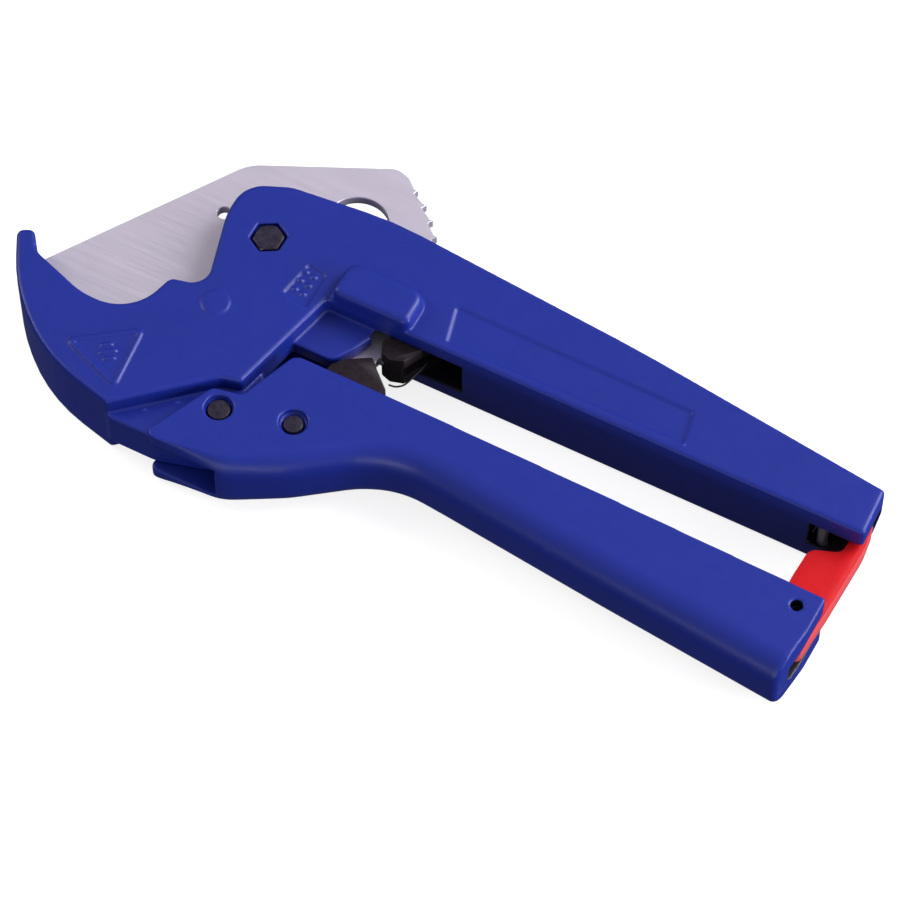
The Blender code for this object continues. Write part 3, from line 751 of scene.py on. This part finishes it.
def make_body():
    body = bevel(plate("painted_body", rounded(BODY_CORNERS), -BODY_HALF, BODY_HALF), 1.0)
    rim = arc(BLADE_AXIS, WEB_RIM_R, -25.0, -12.0)
    web_outline = rounded(WEB_CORNERS) + rim + [(37.0, 0.0), (0.0, 0.0)]
    web = bevel(plate("web", web_outline, -WEB_HALF, WEB_HALF), 0.6)
    boss_outline = rounded([(23.4, -9.6, 2.0), (45.6, -9.6, 2.0), (45.6, 1.6, 4.0), (23.4, 1.6, 4.0)])
    boss = bevel(plate("boss", boss_outline, 0, BOSS_TOP), 1.8, 4)
    mark_profile = [(3.7, 6.0), (3.7, BODY_HALF + 0.15), (3.5, BODY_HALF + 0.35)]
    mark = turned("ejector_mark", (-2.3, -24.0), mark_profile)
    joined = [web, boss, mark, *raised_marks()]

    hex_low = BODY_HALF - HEX_HEIGHT - HEX_SUNK - 0.3
    lug_pocket = rounded([(4.6, -59.5, 5), (30, -59.5, 0), (30, -43.5, 0), (4.6, -43.5, 5)])
    hold_pocket = rounded(
        [(30.0, -12.0, 0), (61.0, -12.0, 0), (61.0, 2.0, 4), (56.0, 6.0, 4), (38.5, 6.0, 4), (37.6, -3.0, 2)]
    )
    latch_slot = rounded([(158.8, -12.0, 0), (180, -12.0, 0), (180, 2.4, 0), (158.8, 2.4, 2)])
    label = rounded([(52.6, 3.6, 1), (55.4, -7.6, 1), (122.4, -6.6, 1), (120.4, 3.0, 1)])
    jaw_slot = [(-62, -20), (-56.2, -31.0), (-45, -39.6), (-34, -43.0), (-8, -45.2), (-4, -20)]
    cuts = [
        rod("rim_slot", BLADE_AXIS, BLADE_SLOT_R, -BLADE_SLOT_HALF, BLADE_SLOT_HALF, 160),
        plate("jaw_slot", jaw_slot, -BLADE_SLOT_HALF, BLADE_SLOT_HALF),
        rod("bolt_bore", BLADE_AXIS, PIVOT_BOLT_R + BORE_GAP, -THROUGH, THROUGH),
        hexagon("front_hex", HEX_POCKET_R, hex_low, THROUGH),
        hexagon("back_hex", HEX_POCKET_R, -THROUGH, -hex_low),
        rod("washer_pocket", BLADE_AXIS, 7.0, 0, 3.2),
        rod("spring_pocket", BLADE_AXIS, 9.8, -6.4, 0),
        rod("lever_bore", LEVER_AXIS, LEVER_PIN_R + BORE_GAP, -THROUGH, THROUGH),
        plate("lug_pocket", lug_pocket, -2.6, 2.6),
        plate("hold_pocket", hold_pocket, -PAWL_HALF - 0.5, PAWL_HALF + 0.5),
        rod("hold_bore", HOLD_AXIS, HOLD_PIN_R + BORE_GAP, -9.0, 9.0),
        rod("stop_bore", BLADE_STOP, STOP_PIN_R + BORE_GAP, -8.0, 8.0),
        plate("latch_slot", latch_slot, -CATCH_SLOT_HALF, CATCH_SLOT_HALF),
        wedge("end_slope", END_SLOPE, -15, 10),
        rod("catch_bore", CATCH_PIN, CATCH_PIN_R + BORE_GAP, -8.5, 8.5),
        sunk_panel("label_recess", label, LABEL_DEPTH),
        sunk_panel("date_box", rounded(DATE_BOX), DATE_BOX_DEPTH),
    ]
    settle(body, joined, cuts)
    dots = []
    for row in range(3):
        for column in range(2):
            at = (13.6 + column * 2.6, -4.9 - row * 2.9 - column * 0.5)
            dots.append(rod(f"dot_{row}_{column}", at, 0.65, WEB_HALF, BODY_HALF - 0.05, 16))
    settle(body, dots, voxel=0.3, smooth=6, ratio=0.3)
    show(body, "body_casting", "blue_paint", None)


def round_outer_side(obj, outline):
    """Turns the lever's outer wall in towards both faces on a quarter circle; the fork's ears stay square."""
    shares = []
    for i, (x, y) in enumerate(outline):
        before = outline[i - 1]
        after = outline[(i + 1) % len(outline)]
        normal = Vector((after[1] - before[1], before[0] - after[0])).normalized()
        along = min(max((x - 4) / 26, 0), 1)
        facing = min(max((0.3 - normal.y) / 0.6, 0), 1)
        shares.append((Vector((x, y)), 0 if y > GRIP_MIDDLE_Y else along * facing))
    bm = bmesh.new()
    bm.from_mesh(obj.data)
    for side in (-1, 1):
        for step in range(9):
            rise = math.sin(math.radians(10 * step))
            height = side * (LEVER_HALF - GRIP_ROUNDING + GRIP_ROUNDING * rise) * MM
            geometry = bm.verts[:] + bm.edges[:] + bm.faces[:]
            bmesh.ops.bisect_plane(bm, geom=geometry, dist=1e-6, plane_co=(0, 0, height), plane_no=(0, 0, 1))
    for vertex in bm.verts:
        x, y, z = vertex.co / MM
        share = min(shares, key=lambda pair: (pair[0] - Vector((x, y))).length)[1]
        rise = min(max((abs(z) - LEVER_HALF + GRIP_ROUNDING) / GRIP_ROUNDING, 0), 1)
        vertex.co.y += GRIP_ROUNDING * (1 - math.sqrt(1 - rise * rise)) * share * MM
    bmesh.ops.triangulate(bm, faces=bm.faces)
    if bm.calc_volume(signed=True) < 0:
        bmesh.ops.reverse_faces(bm, faces=bm.faces)
    bm.to_mesh(obj.data)
    bm.free()


def make_lever():
    outline = rounded(LEVER_CORNERS)
    lever = plate("painted_lever", outline, -LEVER_HALF, LEVER_HALF)
    round_outer_side(lever, outline)
    fork = [(-10, -75), (19.5, -75), (20.5, -61.5), (35.0, -54.2), (50.0, -42.5), (50.0, -20.0), (-10, -20)]
    slot = rounded([(154.8, -20, 0), (154.8, -48.2, 3), (180, -48.2, 0), (180, -20, 0)])
    cuts = [
        plate("fork", fork, -FORK_HALF, FORK_HALF),
        plate("lever_latch_slot", slot, -LATCH_SLOT_HALF, LATCH_SLOT_HALF),
        rod("lever_hole", LEVER_AXIS, LEVER_PIN_R + BORE_GAP, -THROUGH, THROUGH),
        rod("drive_hole", DRIVE_AXIS, DRIVE_PIN_R + BORE_GAP, -THROUGH, THROUGH),
        rod("roll_hole", LATCH_AXIS, ROLL_PIN_R + BORE_GAP, -THROUGH, THROUGH),
    ]
    for name, centre in (("lever_counterbore", LEVER_AXIS), ("drive_counterbore", DRIVE_AXIS)):
        cuts.append(rod(name, centre, COUNTERBORE_R, LEVER_HALF - COUNTERBORE_DEPTH, THROUGH))
    settle(lever, cut=cuts, voxel=0.33, smooth=8, ratio=0.35)
    show(lever, "ratchet_lever", "blue_paint_lever", None)


# ---------------------------------------------------------------- blade, pawls and latch


def make_blade():
    """Cutting edge ground from both faces, hooked ratchet teeth, and broken edges everywhere else."""
    edge = [(-53.0, -29.9, 0.4), (-42.0, -38.6, 30), (-20.0, -42.6, 14), (-9.0, -27.0, 8), (-3.0, -21.5, 3)]
    hidden = [(9.0, -17.0, 8), (24.0, -17.5, 12), (37.0, -22.2, 0)]
    teeth = []
    for k in reversed(range(TOOTH_COUNT)):
        tip = FIRST_TOOTH - k * TOOTH_PITCH
        for radius, share in ((TOOTH_ROOT_R, -TOOTH_LEAN), (TOOTH_TIP_R, 0), (TOOTH_HEEL_R, TOOTH_FACE)):
            angle = tip + share * TOOTH_PITCH
            teeth.append((radius * math.cos(angle), radius * math.sin(angle), 0))
    back = [(20.5, 38.6, 2.6), (16.5, 39.8, 4.5), (-18.8, 22.9, 12)]
    arcs = corner_arcs(edge + hidden + teeth + back)
    outline = [point for points in arcs for point in points]
    edge_count = sum(len(points) for points in arcs[: len(edge)])
    tip_point, heel_point = outline[0], outline[edge_count - 1]

    insets = []
    for i, point in enumerate(outline):
        reach = min(math.dist(point, tip_point) / 7, math.dist(point, heel_point) / 5, 1)
        insets.append(BROKEN + GRIND_WIDTH * reach if i < edge_count else BROKEN)
    rims = [GROUND_HALF if inset_by > 0.5 else BLADE_HALF - BROKEN for inset_by in insets]
    blade = edged_plate("ground_blade", outline, BLADE_HALF, insets, rims)
    holes = []
    for k, (x, y, radius) in enumerate([(-17.1, 6.6, 1.9), (15.3, 19.3, 8.6), (0, 0, BUSH_BORE_R)]):
        flare = [(radius + 0.7, -BLADE_HALF - 0.5), (radius, -BLADE_HALF + 0.2), (radius, BLADE_HALF - 0.2)]
        flare.append((radius + 0.7, BLADE_HALF + 0.5))
        holes.append(turned(f"blade_hole_{k}", (x, y), flare, 64))
    settle(blade, cut=holes)
    show(blade, "blade", "blade_steel", 20)


def pawl(name, node, outline, gap, hub, pin_radius):
    """Two side plates either side of the blade's rim, joined by the nose that meets the teeth."""
    body = bevel(plate(name, rounded(outline), -PAWL_HALF, PAWL_HALF), 0.35, 2)
    cuts = [
        rod(name + "_rim", BLADE_AXIS, 44.2, -PAWL_SLOT_HALF, PAWL_SLOT_HALF, 160),
        plate(name + "_gap", gap, -PAWL_SLOT_HALF, PAWL_SLOT_HALF),
        rod(name + "_bore", hub, pin_radius + BORE_GAP, -THROUGH, THROUGH),
    ]
    settle(body, cut=cuts)
    show(body, node, "pawl_steel")


def make_pawls():
    drive = [
        (26.4, -45.0, 5),
        (30.9, -23.4, 0.6),
        (33.6, -20.4, 0.8),
        (39.3, -16.9, 0.8),
        (42.0, -19.6, 1.5),
        (47.3, -24.4, 1.5),
        (39.0, -41.0, 4),
        (36.0, -51.6, 5.2),
        (27.0, -51.6, 5.2),
    ]
    drive_gap = [(20, -56), (45, -56), (45.5, -30), (36.5, -25.5), (20, -25.5)]
    pawl("blackened_drive_pawl", "drive_pawl", drive, drive_gap, DRIVE_AXIS, DRIVE_PIN_R)
    holding = [
        (39.2, -11.2, 0.6),
        (40.6, -14.8, 1.0),
        (43.4, -15.7, 0.8),
        (47.0, -14.6, 1.0),
        (49.6, -9.4, 2),
        (53.0, -5.0, 3),
        (52.0, 1.4, 3),
        (45.6, 1.0, 3),
        (41.0, -8.6, 0.8),
    ]
    holding_gap = [(44.9, 8), (60, 8), (60, -9.0), (51.0, -9.6), (46.9, -20), (46.0, -9.0)]
    pawl("blackened_holding_pawl", "holding_pawl", holding, holding_gap, HOLD_AXIS, HOLD_PIN_R)


def make_latch():
    """A flat hook with soft moulded edges, short of the catch pin's shoulder."""
    reach = math.dist(LATCH_AXIS, CATCH_PIN) + CATCH_PIN_R + 0.3
    inner = arc(LATCH_AXIS, reach, 84.5, HOOK_END, math.radians(3))
    outer = arc(LATCH_AXIS, reach + HOOK_THICKNESS, HOOK_END, 86.0, math.radians(3))
    outline = rounded(LATCH_CORNERS) + inner + outer
    latch = bevel(plate("moulded_latch", outline, -LATCH_HALF, LATCH_HALF), 0.45)
    bore = rod("latch_bore", LATCH_AXIS, ROLL_PIN_R + BORE_GAP, -THROUGH, THROUGH)
    settle(latch, cut=[bore])
    show(latch, "latch", "red_plastic")


# ---------------------------------------------------------------- bolt, pins and springs


def make_pivot_set():
    """Hex head and nut, chamfered on their corners, with the bolt's shank between them."""
    top = BODY_HALF - HEX_SUNK
    low = top - HEX_HEIGHT
    flat = HEX_HEAD_R * math.cos(math.radians(30))
    chamfer = [(HEX_HEAD_R + 1, low - 1), (HEX_HEAD_R + 1, top - 1.0), (flat - 0.2, top)]
    head = hexagon("hex_bolt", HEX_HEAD_R, low, top)
    settle(head, keep=[turned("head_chamfer", BLADE_AXIS, chamfer)])
    shank = pin("bolt_shank", BLADE_AXIS, PIVOT_BOLT_R, -BODY_HALF + 0.6, low + 0.5)
    settle(head, join=[shank])
    show(bevel_apply(head, 0.12), "blade_pivot_bolt", "black_steel", 30)

    nut = hexagon("hex_nut", HEX_HEAD_R, -top, -low)
    bevelled = [(flat - 0.2, -top), (HEX_HEAD_R + 1, -top + 1.0), (HEX_HEAD_R + 1, -low + 1)]
    settle(nut, keep=[turned("nut_chamfer", BLADE_AXIS, bevelled)])
    settle(nut, cut=[rod("nut_bore", BLADE_AXIS, PIVOT_BOLT_R + 0.1, -THROUGH, THROUGH)])
    show(bevel_apply(nut, 0.12), "blade_pivot_nut", "black_steel", 30)


def bevel_apply(obj, width):
    bevel(obj, width, 2, 25)
    return settle(obj)


def make_pins():
    low = -LEVER_HALF + 0.6
    high = LEVER_HALF - 1.0
    pins = [
        ("lever_hinge_pin", "lever_pivot_pin", LEVER_AXIS, LEVER_PIN_R, low, high, "black_steel"),
        ("drive_hinge_pin", "drive_pawl_pin", DRIVE_AXIS, DRIVE_PIN_R, low, high, "black_steel"),
        ("holding_hinge_pin", "holding_pawl_pin", HOLD_AXIS, HOLD_PIN_R, -8.7, 8.7, "black_steel"),
        ("stop_pin", "blade_stop_pin", BLADE_STOP, STOP_PIN_R, -7.7, 7.7, "black_steel"),
        ("catch_pin", "latch_catch_pin", CATCH_PIN, CATCH_PIN_R, -8.2, 8.2, "pin_steel"),
    ]
    for name, node, centre, radius, bottom, top, slot in pins:
        show(pin(name, centre, radius, bottom, top), node, slot)
    roll = pin("roll_pin", LATCH_AXIS, ROLL_PIN_R, low, LEVER_HALF - ROLL_PIN_SUNK, 0.25)
    hollow = rod("roll_hollow", LATCH_AXIS, 0.8, -THROUGH, THROUGH)
    x, y = LATCH_AXIS
    split = plate("roll_split", box_outline((x, y - 0.2), (x + 3, y + 0.2)), -THROUGH, THROUGH)
    settle(roll, cut=[hollow, split])
    show(roll, "latch_pivot_pin", "black_steel")


def make_springs():
    coil = coil_points(BLADE_AXIS, 7.6, -5.6, 1.25, 139, 2.6)
    show(wire("blade_return_spring", coil, 0.55), "blade_spring", "spring_steel", 50)

    coil = coil_points(LEVER_AXIS, 4.4, -1.5, 1.15, 200, 2.6)
    x, y, z = coil[-1]
    show(wire("lever_return_spring", coil + [(x + 7.0, y + 1.5, z)], 0.5), "lever_spring", "spring_steel", 50)

    coil = coil_points(DRIVE_AXIS, 3.7, -1.2, 0.95, -150, 2.5)
    x, y, z = coil[-1]
    leg = coil + [(x + 0.4, y - 3.4, z)]
    show(wire("drive_return_spring", leg, 0.4), "drive_pawl_spring", "spring_steel", 50)

    coil = coil_points(HOLD_AXIS, 2.4, -1.2, 0.9, 60, -2.2)
    leg = [(51.3, -8.6, 0.9), (50.0, -14.6, 0.6), (49.0, -17.9, 0.3), (47.1, -19.3, 0.0), (45.2, -19.5, 0.0)]
    path = coil[:-1] + bent([coil[-1], *leg])
    show(wire("holding_return_spring", path, 0.25), "holding_pawl_spring", "spring_steel", 50)


# ---------------------------------------------------------------- studio

# The camera looks at a point in the drawing plane from so far, in metres, at these angles
CAMERA_TARGET = (68.06, -29.47, 0)
CAMERA_AZIMUTH = 27.5
CAMERA_ELEVATION = 59.0
CAMERA_DISTANCE = 1.139

FLOOR_GLOW = 0.8
FLOOR_GAP = 0.0002

def area_light(name, at, aim, size, energy):
    data = bpy.data.lights.new(name, "AREA")
    data.shape = "RECTANGLE"
    data.size, data.size_y = size
    data.energy = energy
    light = bpy.data.objects.new(name, data)
    bpy.context.scene.collection.objects.link(light)
    light.location = at
    light.rotation_mode = "QUATERNION"
    light.rotation_quaternion = (Vector(aim) - Vector(at)).to_track_quat("-Z", "Y")


def make_studio():
    """A seamless pale floor under large soft lights."""
    bm = bmesh.new()
    bmesh.ops.create_grid(bm, x_segments=1, y_segments=1, size=3.0)
    mesh = bpy.data.meshes.new("floor")
    bm.to_mesh(mesh)
    bm.free()
    floor = bpy.data.objects.new("floor", mesh)
    floor.location.z = CAD_BOX[0].z - FLOOR_GAP
    bpy.context.scene.collection.objects.link(floor)
    pale = Shader("pale_floor", (0.40, 0.40, 0.40), 0.6)
    pale.shader.inputs["Emission Color"].default_value = (1, 1, 1, 1)
    pale.shader.inputs["Emission Strength"].default_value = FLOOR_GLOW
    mesh.materials.append(pale.material)
    floor.visible_diffuse = False
    floor.visible_glossy = False

    world = bpy.data.worlds.new("studio")
    world.use_nodes = True
    sky = world.node_tree
    direction = sky.nodes.new("ShaderNodeTexCoord")
    height = sky.nodes.new("ShaderNodeSeparateXYZ")
    fade = sky.nodes.new("ShaderNodeMapRange")
    for socket, value in (("From Min", 0.0), ("From Max", 0.6), ("To Min", 0.08), ("To Max", 0.42)):
        fade.inputs[socket].default_value = value
    sky.links.new(direction.outputs["Generated"], height.inputs["Vector"])
    sky.links.new(height.outputs["Z"], fade.inputs["Value"])
    sky.links.new(fade.outputs["Result"], sky.nodes["Background"].inputs["Strength"])
    sky.nodes["Background"].inputs["Color"].default_value = (1, 1, 1, 1)
    bpy.context.scene.world = world

    area_light("key_softbox", (0.95, 0.95, 1.2), (0, 0, 0), (1.0, 1.0), 36)
    area_light("left_strip", (-0.70, -0.05, 0.45), (-0.05, 0, 0), (0.3, 0.5), 2.2)
    area_light("right_fill", (1.2, 0.1, 0.25), (0, 0, 0), (0.4, 0.6), 12)
    area_light("front_fill", (0.2, -1.2, 0.2), (0, 0, 0), (1.0, 0.3), 4)
    bpy.context.scene.view_settings.view_transform = "Standard"


def make_camera():
    target = ORIGIN + Vector(CAMERA_TARGET) * MM
    azimuth, elevation = math.radians(CAMERA_AZIMUTH), math.radians(CAMERA_ELEVATION)
    level = math.cos(elevation)
    back = Vector((math.sin(azimuth) * level, -math.cos(azimuth) * level, math.sin(elevation)))
    data = bpy.data.cameras.new("camera")
    data.lens = 180
    data.sensor_width = 36
    camera = bpy.data.objects.new("camera", data)
    bpy.context.scene.collection.objects.link(camera)
    camera.location = target + back * CAMERA_DISTANCE
    camera.rotation_mode = "QUATERNION"
    camera.rotation_quaternion = (-back).to_track_quat("-Z", "Y")
    bpy.context.scene.camera = camera


make_camera()
make_studio()
make_body()
make_lever()
make_blade()
make_pawls()
make_latch()
make_pivot_set()
make_pins()
make_springs()
dress(frame["nodes"]["blade_bush"], "bronze")
for washer in ("front_washer", "back_washer"):
    dress(frame["nodes"][washer], "spring_steel")
